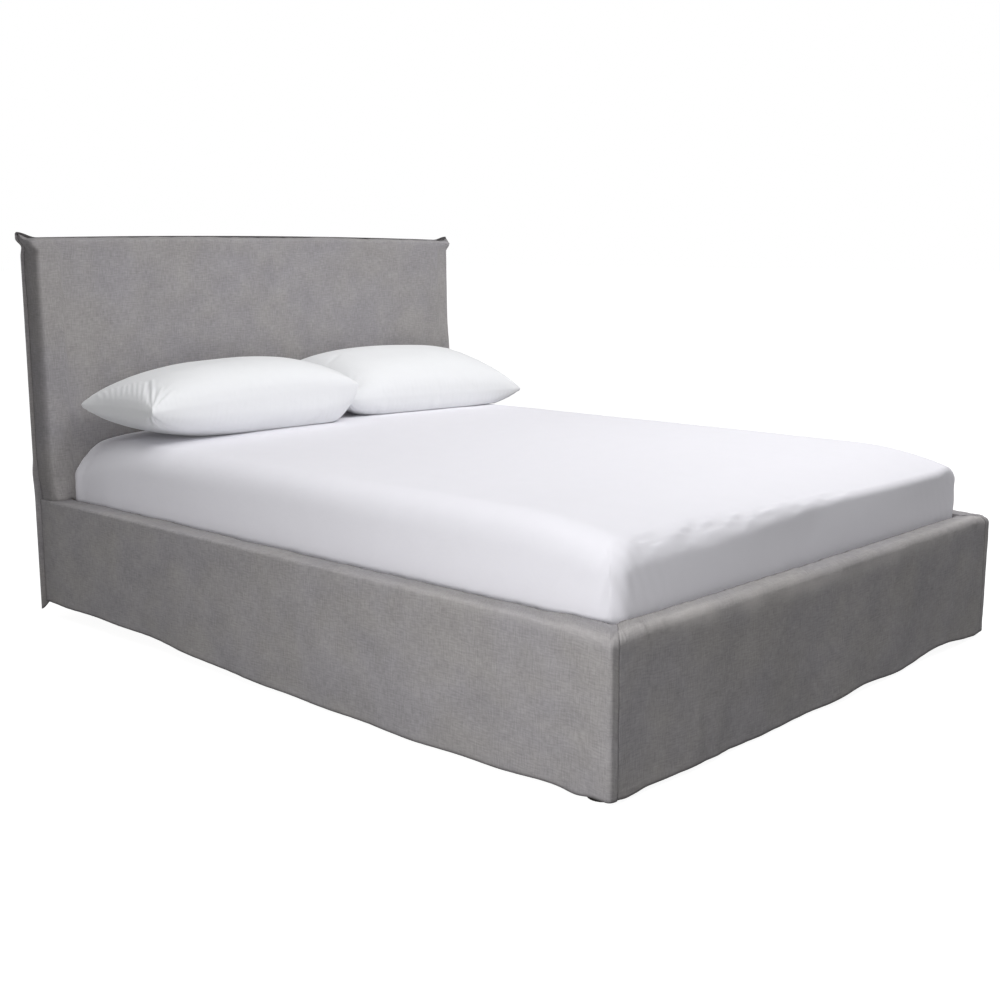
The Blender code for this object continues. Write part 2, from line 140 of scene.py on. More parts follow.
def smoothstep(a, b, x):
    """0 up to a and 1 past b, with a smooth rise between them."""
    t = np.clip((x - a) / (b - a), 0.0, 1.0)
    return t * t * (3 - 2 * t)


def mix(a, b, t):
    """A share t of the way from a to b."""
    return a + (b - a) * t


def bump(x, centre, width):
    """A bell of height 1 about its centre."""
    return np.exp(-((x - centre) / width) ** 2)


def drift(u, v, step, seed):
    """Smooth chance between -1 and 1 over a plane, with swells about step apart."""
    chance = np.random.default_rng(seed).uniform(-1, 1, (61, 61))
    a, b = u / step, v / step
    i, j = np.floor(a).astype(int), np.floor(b).astype(int)
    fa, fb = a - i, b - j
    fa = fa ** 3 * (fa * (6 * fa - 15) + 10)
    fb = fb ** 3 * (fb * (6 * fb - 15) + 10)
    low = mix(chance[i % 61, j % 61], chance[(i + 1) % 61, j % 61], fa)
    high = mix(chance[i % 61, (j + 1) % 61], chance[(i + 1) % 61, (j + 1) % 61], fa)
    return mix(low, high, fb)


def crowd(t, strength):
    """Move even steps from -1 to 1 towards both ends."""
    return mix(t, np.sin(t * math.pi / 2), strength)


def even_box(cuts, open_below=False):
    """A cube from -1 to 1 cut into an even grid on every face."""
    bm = bmesh.new()
    bmesh.ops.create_cube(bm, size=2.0)
    for axis, count in enumerate(cuts):
        others = [i for i in range(3) if i != axis]
        along = [e for e in bm.edges
                 if all(abs(e.verts[0].co[i] - e.verts[1].co[i]) < 1e-6 for i in others)]
        if count > 1:
            bmesh.ops.subdivide_edges(bm, edges=along, cuts=count - 1, use_grid_fill=True)
    if open_below:
        under = [f for f in bm.faces if f.normal.z < -0.5]
        bmesh.ops.delete(bm, geom=under, context='FACES')
    return bm


def to_mesh(name, bm):
    """A named mesh made from a bmesh, which is freed."""
    mesh = bpy.data.meshes.new(name)
    bm.to_mesh(mesh)
    bm.free()
    return mesh


def read_points(mesh):
    """A mesh's points, one row each."""
    co = np.empty(len(mesh.vertices) * 3, np.float32)
    mesh.vertices.foreach_get("co", co)
    return co.reshape(-1, 3).astype(float)


def write_points(mesh, co):
    """Move a mesh's points to new places."""
    mesh.vertices.foreach_set("co", np.asarray(co, np.float32).reshape(-1))
    mesh.update()


def place(name, mesh, finish, nodes):
    """Put a mesh in the scene as a piece that stands for its CAD nodes."""
    mesh.materials.append(finish)
    mesh.shade_smooth()
    obj = bpy.data.objects.new(name, mesh)
    bpy.context.scene.collection.objects.link(obj)
    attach(obj, "root")
    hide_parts(*nodes)
    return obj


def mattress_form(x, y, z, inset, low):
    """Points of a box carried onto the mattress: crowned, its left side rounder than the
    right one, most of all at the headboard, and the right of its foot end square. Its foot
    end and its head corners are drawn down."""
    half_w, half_l = MATTRESS_W / 2, MATTRESS_L / 2
    near, head = smoothstep(0.2, -0.8, x), smoothstep(0.70, 1.0, y)
    ends = mix(0.045, 0.024, head)
    ends = mix(ends, mix(0.052, 0.014, smoothstep(-0.7, 0.2, x)), smoothstep(-0.80, -0.98, y))
    core = 0.052 + 0.022 * near + 0.030 * near * head - ends
    ends += 11 * inset
    top = SHEET_TOP - inset
    p = np.stack([x * (half_w - inset), y * (half_l - inset), mix(low, top, z)], 1)
    q = np.stack([np.clip(p[:, 0], ends + core - half_w + inset, half_w - inset - ends - core),
                  np.clip(p[:, 1], ends - half_l + inset, half_l - inset - ends),
                  np.minimum(p[:, 2], top - ends - core)], 1)
    out = np.hypot(*(p - q)[:, ::2].T)
    reached = np.minimum(1.0, core / np.maximum(out, 1e-9))[:, None]
    q[:, ::2] += (p - q)[:, ::2] * reached
    away = p - q
    length = np.linalg.norm(away, axis=1, keepdims=True)
    p = np.where(length > 1e-9, q + away * ends[:, None] / np.maximum(length, 1e-9), p)
    u, v = np.abs(p[:, 0]) / half_w, np.abs(p[:, 1]) / half_l
    lift = CROWN * np.maximum(0, 1 - u * u) * np.maximum(0, 1 - v * v) ** 0.9
    drop_x = np.maximum(0, (u - 1) * half_w / DROP_REACH + 1)
    drop_y = np.maximum(0, (v - 1) * half_l / DROP_REACH + 1)
    far = p[:, 0] / half_w
    depth = (mix(CORNER_DROP, FOOT_DROP, smoothstep(-0.65, 0.50, far))
             - 0.012 * smoothstep(0.85, 1.0, far))
    drop = np.where(p[:, 1] < 0, depth, CORNER_DROP * drop_x ** 2) * drop_y ** 2
    p[:, 2] += (lift - drop) * smoothstep(RAIL_TOP, SHEET_TOP - 0.03, p[:, 2])
    p[:, 1] += MATTRESS_Y
    return p


def sheet_height(x, y):
    """Top of the fitted sheet under points of the bed."""
    flat = mattress_form(np.ravel(x) / MATTRESS_W * 2,
                         (np.ravel(y) - MATTRESS_Y) / MATTRESS_L * 2,
                         np.ones(np.size(x)), 0.0, RAIL_TOP)
    return flat[:, 2].reshape(np.shape(x))


ticking, tree, shader = new_finish("knitted_ticking", Roughness=0.9, IOR=1.5,
                                   Sheen_Weight=0.1)
where = add_node(tree, "ShaderNodeTexCoord").outputs["Object"]
# Ribs of 1 mm, drawn 19 mm apart. The wave node fits 20 radians into its unit.
rib = add_node(tree, "ShaderNodeTexWave", {
    "Vector": where, "Scale": 2 * math.pi * 1000 / 18.85 / 20, "Distortion": 1.5,
    "Detail": 1.0}).outputs[1]
shade = add_node(tree, "ShaderNodeMix", {0: rib, 6: linear("DCD8CF"), 7: linear("EAE7E0")},
                 data_type='RGBA').outputs[2]
tree.links.new(shade, shader.inputs["Base Color"])
tree.links.new(add_node(tree, "ShaderNodeBump", {"Height": rib, "Strength": 0.3,
                                                 "Distance": 0.0004}).outputs[0],
               shader.inputs["Normal"])

mesh = to_mesh("mattress_body", even_box((60, 76, 8)))
box = read_points(mesh)
x, y = crowd(box[:, 0], 0.5), crowd(box[:, 1], 0.5)
z = np.sin((box[:, 2] + 1) * math.pi / 4)
skin = CLOTH + 2 * LOOSE + QUILT_DEPTH      # from the sheet's outside to the ticking
points = mattress_form(x, y, z, skin, 0.250 + LOOSE)
quilting = np.abs(np.sin(points[:, 0] * math.pi / QUILT)
                  * np.sin(points[:, 1] * math.pi / QUILT)) ** 0.5 - 1
points[:, 2] += QUILT_DEPTH * quilting * (box[:, 2] > 0.99)
write_points(mesh, points)
mattress = place("mattress_body", mesh, ticking, ["mattress"])

# ---- Fitted sheet ----
# White cotton percale pulled over the mattress and under it, its corners darted and
# sewn. Tight plain weave with a dull bloom, taut on top, slightly drawn at the corners.


def cotton_percale(name, tone, shadow):
    """Plain-woven cotton, its 0.3 mm threads drawn 2.5 mm wide so that they show."""
    mat, tree, shader = new_finish(name, Roughness=0.82, IOR=1.47, Sheen_Weight=0.12,
                                   Sheen_Roughness=0.5)
    where = add_node(tree, "ShaderNodeTexCoord").outputs["Object"]
    thread = add_node(tree, "ShaderNodeTexNoise", {
        "Vector": where, "Scale": 1000 / 2.5, "Detail": 2.0}).outputs[0]
    cockle = add_node(tree, "ShaderNodeTexNoise", {
        "Vector": where, "Scale": 1000 / 55.0, "Detail": 3.0, "Distortion": 0.6}).outputs[0]
    # Painted shade: the cloth is drawn slightly darker in the hollows of its cockles, where the
    # bump below sinks.
    colour = add_node(tree, "ShaderNodeMix", {0: cockle, 6: linear(shadow), 7: linear(tone)},
                      data_type='RGBA').outputs[2]
    fine = add_node(tree, "ShaderNodeBump", {
        "Height": thread, "Strength": 0.25, "Distance": 0.0003}).outputs[0]
    soft = add_node(tree, "ShaderNodeBump", {
        "Height": cockle, "Strength": 0.35, "Distance": 0.0030, "Normal": fine}).outputs[0]
    tree.links.new(colour, shader.inputs["Base Color"])
    tree.links.new(soft, shader.inputs["Normal"])
    return mat


sheet_percale = cotton_percale("white_percale_sheet", "EDECF2", "EAE9EF")

SHEET_LOW = 0.290                           # where the sheet turns under the mattress
mesh = to_mesh("sheet_on_mattress", even_box((190, 136, 22), open_below=True))
box = read_points(mesh)
x, y = crowd(box[:, 0], 0.45), crowd(box[:, 1], 0.85)
z = np.sin((box[:, 2] + 1) * math.pi / 4)
points = mattress_form(x, y, z, 0.0, SHEET_LOW)
px, py, pz = points.T
half_w, half_l = MATTRESS_W / 2, MATTRESS_L / 2
from_middle = py - MATTRESS_Y

# Broad shallow swells where it lies on top
on_top = smoothstep(SHEET_TOP - 0.060, SHEET_TOP - 0.030, pz)
points[:, 2] += on_top * (0.0009 * drift(px + 3, py + 3, 0.21, 3)
                          + 0.0005 * drift(px + 3, py + 3, 0.075, 4))

# Gathers down its sides, close and deep at the corners
out_x, out_y = px / half_w, from_middle / half_l       # 1 at the edges
to_corner = np.hypot((1 - np.abs(out_x)) * half_w, (1 - np.abs(out_y)) * half_l)
round_it = np.where(np.abs(out_x) > np.abs(out_y), py, px)
on_side = smoothstep(SHEET_TOP - 0.004, SHEET_TOP - 0.060, pz)
gather = np.exp(-to_corner / 0.10) * np.sin(round_it * 2 * math.pi / 0.034 + 80 * pz)
pull = 0.0011 * on_side * gather + 0.0016 * on_side * drift(round_it + 5, pz, 0.13, 8)

# A seam down each corner, the far foot one drawn in, and two corners standing out
far_foot, near_head = (px > 0) * (py < 0), (px < 0) * (py > 0)
seam_off = np.abs(px) - half_w - np.abs(from_middle) + half_l
at_corner = smoothstep(0.13, 0.06, to_corner)
seam = 0.0006 * bump(seam_off, 0.0, 0.009) * at_corner
seam -= 0.0020 * bump(seam_off, -0.016, 0.004) * at_corner * far_foot
seam += 0.004 * bump(to_corner, 0.0, 0.020) * far_foot
seam += 0.009 * bump(to_corner, 0.0, 0.028) * near_head

# Cockles along the foot's edge, over its near two thirds
foot_edge = (bump(from_middle, 0.014 - half_l, 0.024)
             * smoothstep(SHEET_TOP - 0.120, SHEET_TOP - 0.075, pz))
cockled = foot_edge * smoothstep(-0.74, -0.66, px) * smoothstep(0.36, 0.05, px)
points[:, 2] += cockled * (0.0032 * drift(0.55 * px + 3, 1.3 * py + pz + 9, 0.021, 9)
                           + 0.0032 * drift(px + 3, 1.2 * (py + pz) + 9, 0.085, 10))

# What lies on the sides is moved outwards, which turns over 90 mm round each corner
past_x = np.maximum(0, np.abs(px) - half_w + 0.09)
past_y = np.maximum(0, np.abs(from_middle) - half_l + 0.09)
length = np.hypot(past_x, past_y) + 1e-6
way_x, way_y = np.sign(px) * past_x / length, np.sign(py) * past_y / length
points[:, 0] += (pull + seam * on_side) * way_x
points[:, 1] += (pull + seam * on_side) * way_y
write_points(mesh, points)
fitted_sheet = place("sheet_on_mattress", mesh, sheet_percale, ["fitted_sheet"])


def thicken(obj, offset, even=True):
    """Give an open cloth its thickness."""
    mod = obj.modifiers.new("cloth", 'SOLIDIFY')
    mod.thickness = CLOTH
    mod.offset = offset
    mod.use_even_offset = even


thicken(fitted_sheet, -1.0)

# ---- Loose cover: washed linen ----
# Five panels of one grey linen, washed and not ironed: slubbed yarns run both ways and
# catch the light unevenly, the ground is mottled, and seams and hems are top-stitched.
# Painted shade darkens the tucks, the hems' lower edges and the headboard's top and
# sides, and a painted highlight pales the rolls over the rails.


def washed_linen(name, cool, warm):
    """Slubbed linen, its 0.8 mm yarns drawn 3.6 mm wide so that they show. cool and warm
    are each a deep and a pale grey, between which the dye has washed out unevenly."""
    mat, tree, shader = new_finish(name, Roughness=0.95, IOR=1.45, Sheen_Weight=0.10,
                                   Sheen_Roughness=0.4, Specular_IOR_Level=0.25)
    cut = add_node(tree, "ShaderNodeAttribute", attribute_name="cut").outputs["Vector"]
    yarn, slub = 1000 / 3.6, 1000 / 24.0
    yarns = []
    for spread in ((yarn, slub, 0.0), (slub, yarn, 0.0)):
        at = add_node(tree, "ShaderNodeVectorMath", {0: cut, 1: spread},
                      operation='MULTIPLY').outputs[0]
        yarns.append(add_node(tree, "ShaderNodeTexNoise", {
            "Vector": at, "Scale": 1.0, "Detail": 2.0, "Roughness": 0.6}).outputs[0])
    weave = add_node(tree, "ShaderNodeMath", {0: yarns[0], 1: yarns[1]}, operation='ADD')
    relief = add_node(tree, "ShaderNodeMapRange",
                      {0: weave.outputs[0], 1: 0.62, 2: 1.38}).outputs[0]
    mottle = add_node(tree, "ShaderNodeTexNoise", {
        "Vector": cut, "Scale": 1000 / 85.0, "Detail": 5.0, "Roughness": 0.6}).outputs[0]
    worn = add_node(tree, "ShaderNodeMath", {0: relief, 1: mottle}, operation='ADD')
    shade = add_node(tree, "ShaderNodeMapRange", {0: worn.outputs[0], 1: 0.5, 2: 1.5})
    greys = [add_node(tree, "ShaderNodeMix", {0: shade.outputs[0], 6: linear(deep),
                                              7: linear(pale)}, data_type='RGBA').outputs[2]
             for deep, pale in (cool, warm)]
    faded = add_node(tree, "ShaderNodeTexNoise", {
        "Vector": cut, "Scale": 1000 / 330.0, "Detail": 3.0, "Roughness": 0.7}).outputs[0]
    faded = add_node(tree, "ShaderNodeMapRange", {0: faded, 1: 0.40, 2: 0.60}).outputs[0]
    colour = add_node(tree, "ShaderNodeMix", {0: faded, 6: greys[0], 7: greys[1]},
                      data_type='RGBA').outputs[2]
    # This attribute darkens the cloth towards 3E3B3C for the seams' dark lines and for painted
    # shade. Where it is below 0 it pales the cloth towards CBC7C5 as a painted highlight.
    seams_and_painted_light = add_node(tree, "ShaderNodeAttribute", attribute_name="seams_and_painted_light").outputs["Fac"]
    painted_highlight = add_node(tree, "ShaderNodeMath", {0: seams_and_painted_light, 1: -1.0}, operation='MULTIPLY')
    for share, tone in ((seams_and_painted_light, "3E3B3C"), (painted_highlight.outputs[0], "CBC7C5")):
        colour = add_node(tree, "ShaderNodeMix", {0: share, 6: colour, 7: linear(tone)},
                          data_type='RGBA').outputs[2]
    raised = add_node(tree, "ShaderNodeBump", {
        "Height": relief, "Strength": 0.45, "Distance": 0.0006}).outputs[0]
    tree.links.new(colour, shader.inputs["Base Color"])
    tree.links.new(raised, shader.inputs["Normal"])
    return mat


grey_linen = washed_linen("washed_grey_linen", ("888688", "A3A0A3"), ("8A8787", "A5A2A1"))
HALF_L = 2.165 / 2
BACK_FACE = HALF_L - CLOTH                  # inner side of the back panel
HEM = 0.020                                 # height of the turned hem
SEAM_HEM = 0.0132                           # height of the hem at the foot corners' seams


def crease(s, t, a, b, wide, high):
    """Height of a soft fold from a to b on a cloth, dying away at both ends."""
    ds, dt = b[0] - a[0], b[1] - a[1]
    run = math.hypot(ds, dt)
    along = ((s - a[0]) * ds + (t - a[1]) * dt) / run ** 2
    off = ((s - a[0]) * dt - (t - a[1]) * ds) / run
    return high * np.exp(-(off / wide) ** 2) * np.sqrt(np.maximum(0, 4 * along * (1 - along)))


def creases(s, t, folds):
    """Height of several creases, each (s, t, s, t, width, height)."""
    return sum(crease(s, t, f[:2], f[2:4], f[4], f[5]) for f in folds)


def raise_by(points, height):
    """Move a grid of points along its normals."""
    normal = np.cross(np.gradient(points, axis=1), np.gradient(points, axis=0))
    normal /= np.linalg.norm(normal, axis=2, keepdims=True) + 1e-12
    return points + normal * height[..., None]


def cloth_grid(name, points, s, t, node, offset, seams_and_painted_light, even=True):
    """A panel from a grid of points. s and t are its places on the flat cut, in metres, and
    the grid of seams and painted light is how dark a seam line or a painted shade draws the
    cloth, or below 0 how pale a painted highlight on a roll of the cloth draws it."""
    rows, columns = points.shape[:2]
    bm = bmesh.new()
    bmesh.ops.create_grid(bm, x_segments=columns - 1, y_segments=rows - 1, size=1.0)
    mesh = to_mesh(name, bm)
    write_points(mesh, points)
    cut = mesh.attributes.new("cut", 'FLOAT_VECTOR', 'POINT')
    flat = np.stack([np.broadcast_to(s, (rows, columns)),
                     np.broadcast_to(t, (rows, columns)), np.zeros((rows, columns))], 2)
    cut.data.foreach_set("vector", flat.astype(np.float32).reshape(-1))
    dark = mesh.attributes.new("seams_and_painted_light", 'FLOAT', 'POINT')
    dark.data.foreach_set("value", (seams_and_painted_light + 0 * t).astype(np.float32).reshape(-1))
    obj = place(name, mesh, grey_linen, [node])
    thicken(obj, offset, even)
    return obj


def steps(*runs):
    """Rising numbers from runs of (start, end, count), each run's end shared."""
    parts = [np.linspace(a, b, n, endpoint=False) for a, b, n in runs]
    return np.concatenate(parts + [[runs[-1][1]]])


# ---- Loose cover: long sides and foot ----
# Each side panel is tucked beside the mattress, lies over the rail, hangs to the floor
# and turns the foot corner to a seam. The foot panel hangs between the two seams.


def side_hem(y):
    """Height of the long sides' hem: lifted at the head, lowest past the middle."""
    swells = (0.0060 * bump(y, -0.92, 0.10) + 0.0040 * bump(y, 0.12, 0.09)
              - 0.0020 * bump(y, -0.99, 0.02) + 0.0065 * smoothstep(-1.00, -1.05, y))
    return 0.0085 + 0.034 * smoothstep(-0.20, 0.85, y) + swells


def foot_hem(x):
    """Height of the foot's hem: low on the near half, lifted on the far one."""
    swells = (0.006 * bump(x, -0.58, 0.16) + 0.010 * bump(x, 0.14, 0.14)
              + 0.019 * bump(x, 0.60, 0.13) + 0.003 * bump(x, -0.74, 0.04))
    return 0.0085 + swells


def hem_wave(s, seed):
    """Sideways wave of a hanging panel at its hem."""
    return 0.0045 * np.sin(9.0 * s + seed) + 0.0030 * np.sin(21.0 * s + 2.1 * seed)


def side_outer(y):
    """Half width over the side panels: close at the headboard, full at the foot."""
    return mix(0.853, 0.8395, smoothstep(-0.6, 1.0, y))


CORNER, WRAP = 0.006, 0.024                 # the foot corners' radius, and how far round
EDGE_X = MATTRESS_W / 2 + 0.0025            # tucked edge, beside the mattress
EDGE_Y = MATTRESS_Y - MATTRESS_L / 2 - 0.0025
ROLL_IN, ROLL_OUT = 0.020, 0.018            # rolls of the cloth over the foot rail
TUCK_Z = 0.262                              # height of the tucked edge
# Rows of cells: up the tuck, over the inner roll, across the rail, over the outer roll
ROWS = (5, 10, 8, 9)
ROWS_DOWN = steps((0, 0.90, 42), (0.90, 1.0, 12))
TUCK_ROW = ROWS[0] + ROWS[1] - 1            # where the cloth leaves the tuck
ROLL_ROW = sum(ROWS[:3]) + ROWS[3] // 2     # the middle of the outer roll


def corner_sag(x, y):
    """How far the cover hangs below the rail's top, past the timber, towards a corner."""
    beside = smoothstep(0.822, 0.852, np.abs(x)) * (
        0.3 * smoothstep(-0.84, -0.95, y) + 0.7 * smoothstep(-0.96, -1.07, y))
    beyond = smoothstep(-1.052, -1.080, y) * smoothstep(0.76, 0.84, np.abs(x))
    return 0.0075 * np.maximum(beside, beyond)


def rail_panel(inner, outer, hem, rolls, wave):
    """Points of a panel over a rail, from its tucked edge to the hem, one column for each
    pair of points on the inner and outer lines, and the way along the cloth."""
    width = np.linalg.norm(outer - inner, axis=1)
    one, quarter = np.ones_like(width), math.pi / 2
    r_in, r_out = rolls
    across, z = [], []

    def row(a, height):
        across.append(a * one)
        z.append(height * one)

    for f in np.linspace(0, 1, ROWS[0], endpoint=False):
        row(0.0, mix(TUCK_Z, RAIL_TOP - r_in, f))
    for f in np.linspace(0, quarter, ROWS[1], endpoint=False):
        row(r_in * (1 - math.cos(f)), RAIL_TOP - r_in * (1 - math.sin(f)))
    for f in np.linspace(0, 1, ROWS[2], endpoint=False):
        row(mix(r_in, width - r_out, f), RAIL_TOP)
    for f in np.linspace(0, quarter, ROWS[3], endpoint=False):
        row(width - r_out * (1 - math.sin(f)), RAIL_TOP - r_out * (1 - math.cos(f)))
    for f in ROWS_DOWN:
        row(width, mix(RAIL_TOP - r_out, hem, f))
    across, z = np.array(across), np.array(z)
    outside = across > 0.5 * width
    across = across + wave * smoothstep(RAIL_TOP - 0.018, 0.012, z) * outside
    x, y = (mix(inner[:, i], outer[:, i], across / width) for i in (0, 1))
    z = z - corner_sag(x, y) * smoothstep(0.15, RAIL_TOP, z) * outside
    points = np.stack([x, y, z], 2)
    run = np.linalg.norm(np.diff(points, axis=0), axis=2)
    return points, np.vstack([np.zeros_like(width), np.cumsum(run, axis=0)])


def hem_relief(above_hem, chance):
    """Height of the hem's turned cloth, uneven by chance, and of its line of stitches."""
    return (0.0002 * smoothstep(HEM + 0.004, HEM - 0.005, above_hem) * (1 + 1.5 * chance)
            - 0.0001 * bump(above_hem, HEM, 0.0030))


def seam_relief(to_seam):
    """Depth of the groove along a foot corner's seam."""
    return -0.0012 * bump(to_seam, 0.0, 0.0020)


def seam_lines_and_hem_shade(to_seam, above_hem):
    """How dark a foot corner's seam line is drawn, and the painted shade along the hem's lower
    edge.
    """
    return 0.35 * bump(to_seam, 0.0, 0.0015) + 0.75 * bump(above_hem, 0.0, 0.0045)


for side, name in ((-1, "left"), (1, "right")):
    wide = side_outer(-HALF_L)
    straight = steps((0, 0.04, 12), (0.04, 0.96, 250), (0.96, 1, 18))
    head = BACK_FACE - LOOSE
    y = mix(head, -HALF_L + CORNER, straight)
    a = np.linspace(0, math.pi / 2, 15)[1:]
    last = np.linspace(0, 1, 9)[1:]
    outer = np.concatenate([
        np.stack([side_outer(y), y], 1),
        np.stack([wide - CORNER * (1 - np.cos(a)), CORNER * (1 - np.sin(a)) - HALF_L], 1),
        np.stack([mix(wide - CORNER, wide - WRAP, last), -HALF_L + 0 * last], 1)])
    inner = np.concatenate([
        np.stack([EDGE_X + 0 * straight, mix(head, EDGE_Y + 0.010, straight)], 1),
        np.stack([EDGE_X - CORNER * (1 - np.cos(a)), EDGE_Y + CORNER * (1 - np.sin(a))], 1),
        np.stack([mix(EDGE_X - CORNER, EDGE_X - 0.010, last), EDGE_Y + 0 * last], 1)])
    inner[:, 0] *= side
    outer[:, 0] *= side
    y = outer[:, 1]
    s = np.concatenate([[0], np.cumsum(np.linalg.norm(np.diff(outer, axis=0), axis=1))])
    to_seam = s[-1] - s
    hem = mix(side_hem(y), SEAM_HEM, smoothstep(0.026, 0.006, to_seam))
    calm = smoothstep(-HALF_L, -HALF_L + 0.15, y) * smoothstep(HALF_L, HALF_L - 0.15, y)
    r_in = mix(0.034, 0.014, smoothstep(0.0, 0.6, y))
    r_in = mix(ROLL_IN, r_in, smoothstep(-1.0, -0.90, y))
    r_out = mix(ROLL_OUT, 0.0055, smoothstep(-1.06, -0.90, y))
    r_out = mix(r_out, 0.0035, smoothstep(0.985, 1.035, y))
    points, t = rail_panel(inner, outer, hem, (r_in, r_out),
                           hem_wave(y, 1.0 + side) * calm)
    up = points[..., 2]
    hang = smoothstep(RAIL_TOP - 0.02, RAIL_TOP - 0.10, up)
    lying = 1 - smoothstep(RAIL_TOP - 0.004, RAIL_TOP - 0.02, up)
    ss = np.broadcast_to(s, t.shape)
    relief = 0.0012 * hang * drift(ss + 9, t, 0.16, 21 + side)
    relief += 0.0006 * drift(ss, t * 0.45, 0.050, 23 + side)
    relief += 0.0012 * lying * drift(ss, t, 0.060, 25 + side)
    relief += 0.0004 * drift(ss, t, 0.024, 26 + side) * (1 + lying)
    relief += seam_relief(to_seam)
    relief += 0.0006 * bump(to_seam, 0.004, 0.004) * drift(t, ss, 0.013, 27)
    above_hem = up - hem
    relief += hem_relief(above_hem, drift(ss, t, 0.018, 29))
    over = t[ROLL_ROW, -3]
    relief += creases(to_seam, t - over, ((0.014, -0.014, 0.030, 0.012, 0.0035, -0.0022),
                                          (0.040, -0.020, 0.062, 0.010, 0.0050, -0.0022)))
    if side < 0:                            # creases that slant down the near side
        relief += creases(ss, t, ((0.030, 0.29, 0.10, 0.37, 0.010, 0.0020),
                                  (0.25, 0.30, 0.62, 0.44, 0.030, 0.0016),
                                  (1.10, 0.26, 1.50, 0.47, 0.040, 0.0015),
                                  (1.92, 0.21, 2.14, 0.38, 0.020, 0.0020)))
    points = raise_by(points, relief * side)
    # The seam line and painted shade at the hem's edge, a painted highlight along the outer
    # roll towards the foot, and painted shade where the cloth goes down into the tuck beside
    # the mattress.
    seams_and_painted_light = seam_lines_and_hem_shade(to_seam, above_hem)
    seams_and_painted_light = seams_and_painted_light - 0.22 * bump(t - t[ROLL_ROW], -0.004, 0.018) * smoothstep(0.1, -1.0, y)
    seams_and_painted_light = seams_and_painted_light + 0.6 * smoothstep(0.004, -0.002, t - t[TUCK_ROW])
    panel = cloth_grid(f"side_panel_{name}", points, s, t, f"cover_side_{name}", side,
                       seams_and_painted_light)

(in_x, in_y), (out_x, out_y) = inner[-1], outer[-1]
SEAM_GAP = 0.0014                           # left between the foot panel and a side panel
in_x, out_x = in_x - SEAM_GAP, out_x - SEAM_GAP
c = steps((-1, -0.97, 10), (-0.97, 0.97, 240), (0.97, 1, 10))
inner = np.stack([in_x * c, in_y + 0 * c], 1)
outer = np.stack([out_x * c, out_y + 0 * c], 1)
x = outer[:, 0]
calm = smoothstep(1.0, 0.8, np.abs(c))
hem = mix(SEAM_HEM, foot_hem(x), smoothstep(1.0, 0.96, np.abs(c)))
points, t = rail_panel(inner, outer, hem, (ROLL_IN, ROLL_OUT),
                       (hem_wave(x, 0.4) + 0.001) * calm)
up, s = points[..., 2], np.broadcast_to(x, t.shape)
hang = smoothstep(RAIL_TOP - 0.02, RAIL_TOP - 0.10, up)
to_seam = out_x - np.abs(s)
relief = 0.0012 * hang * drift(s + 9, t, 0.15, 31) + 0.0006 * drift(s + 9, t * 0.45, 0.045, 32)
lying = 1 - smoothstep(RAIL_TOP - 0.012, RAIL_TOP - 0.03, up)
relief += 0.0004 * drift(s + 9, t, 0.024, 35) * (1 + 1.5 * lying)
relief += seam_relief(to_seam)
relief += 0.0026 * bump(to_seam, 0.0, 0.035) * lying * drift(s + 9, t * 0.6, 0.016, 33)
over = t[ROLL_ROW, 3]
# Creases from the near seam on: small ones at the corner, then long soft ones that
# hang down the panel, then two at the far corner
relief -= creases(s + out_x, t - over, (
    (0.010, -0.016, 0.020, 0.010, 0.0030, -0.0022),
    (0.022, -0.012, 0.030, 0.016, 0.0035, -0.0020),
    (0.060, -0.030, 0.086, 0.012, 0.0050, -0.0040),
    (0.072, -0.034, 0.100, 0.004, 0.0060, 0.0026),
    (0.130, -0.020, 0.150, 0.014, 0.0070, -0.0018),
    (0.290, 0.17, 0.300, 0.36, 0.014, 0.0020),
    (0.335, 0.19, 0.350, 0.37, 0.016, -0.0022),
    (0.385, 0.20, 0.405, 0.38, 0.014, 0.0016),
    (0.560, 0.20, 0.580, 0.38, 0.022, 0.0020),
    (0.700, 0.18, 0.690, 0.36, 0.026, -0.0020),
    (1.240, 0.14, 1.225, 0.34, 0.022, 0.0020),
    (1.610, -0.030, 1.588, 0.014, 0.0060, -0.0035),
    (1.655, -0.018, 1.664, 0.010, 0.0035, -0.0022)))
above_hem = up - hem
relief += hem_relief(above_hem, drift(s + 9, t, 0.018, 34))
points = raise_by(points, -relief)
# The seam lines and painted shade at the hem's edge, a painted highlight along the roll over
# the rail, uneven along it, and painted shade where the cloth goes down into the tuck.
seams_and_painted_light = seam_lines_and_hem_shade(to_seam, above_hem)
seams_and_painted_light = seams_and_painted_light - 0.45 * bump(t - over, -0.010, 0.024) * (1 + 0.5 * drift(s + 9, t, 0.09, 36))
seams_and_painted_light = seams_and_painted_light + 0.7 * smoothstep(0.006, -0.002, t - t[TUCK_ROW])
panel = cloth_grid("foot_panel", points, s, t, "cover_foot", -1, seams_and_painted_light)

# ---- Loose cover: headboard front and back ----
# The front panel turns round both sides to the back seams and over the top to the top
# seam, which stands up as an ear at each end. The back panel is one flat width, and its
# seam allowance shows as a narrow flange down both sides.
HEAD_TOP, HEAD_DEPTH = 1.118, 0.070
EAR_X = 0.862                               # half width over the points of the ears


def top_seam(x):
    """Height of the top seam: a slight crown, and a pointed ear at each end."""
    ear = np.where(x < 0, 0.016, 0.013)
    return (HEAD_TOP + 0.007 - 0.0085 * (x / 0.8) ** 2
            + ear * smoothstep(0.800, EAR_X, np.abs(x)))


def seam_half_width(z, side):
    """Half width at the side seams, with the ear standing out at the top."""
    out = np.where(side < 0, 0.0180, 0.0160)
    return 0.8460 + out * smoothstep(1.088, 1.112, z) - 0.002 * bump(z, 1.086, 0.015)


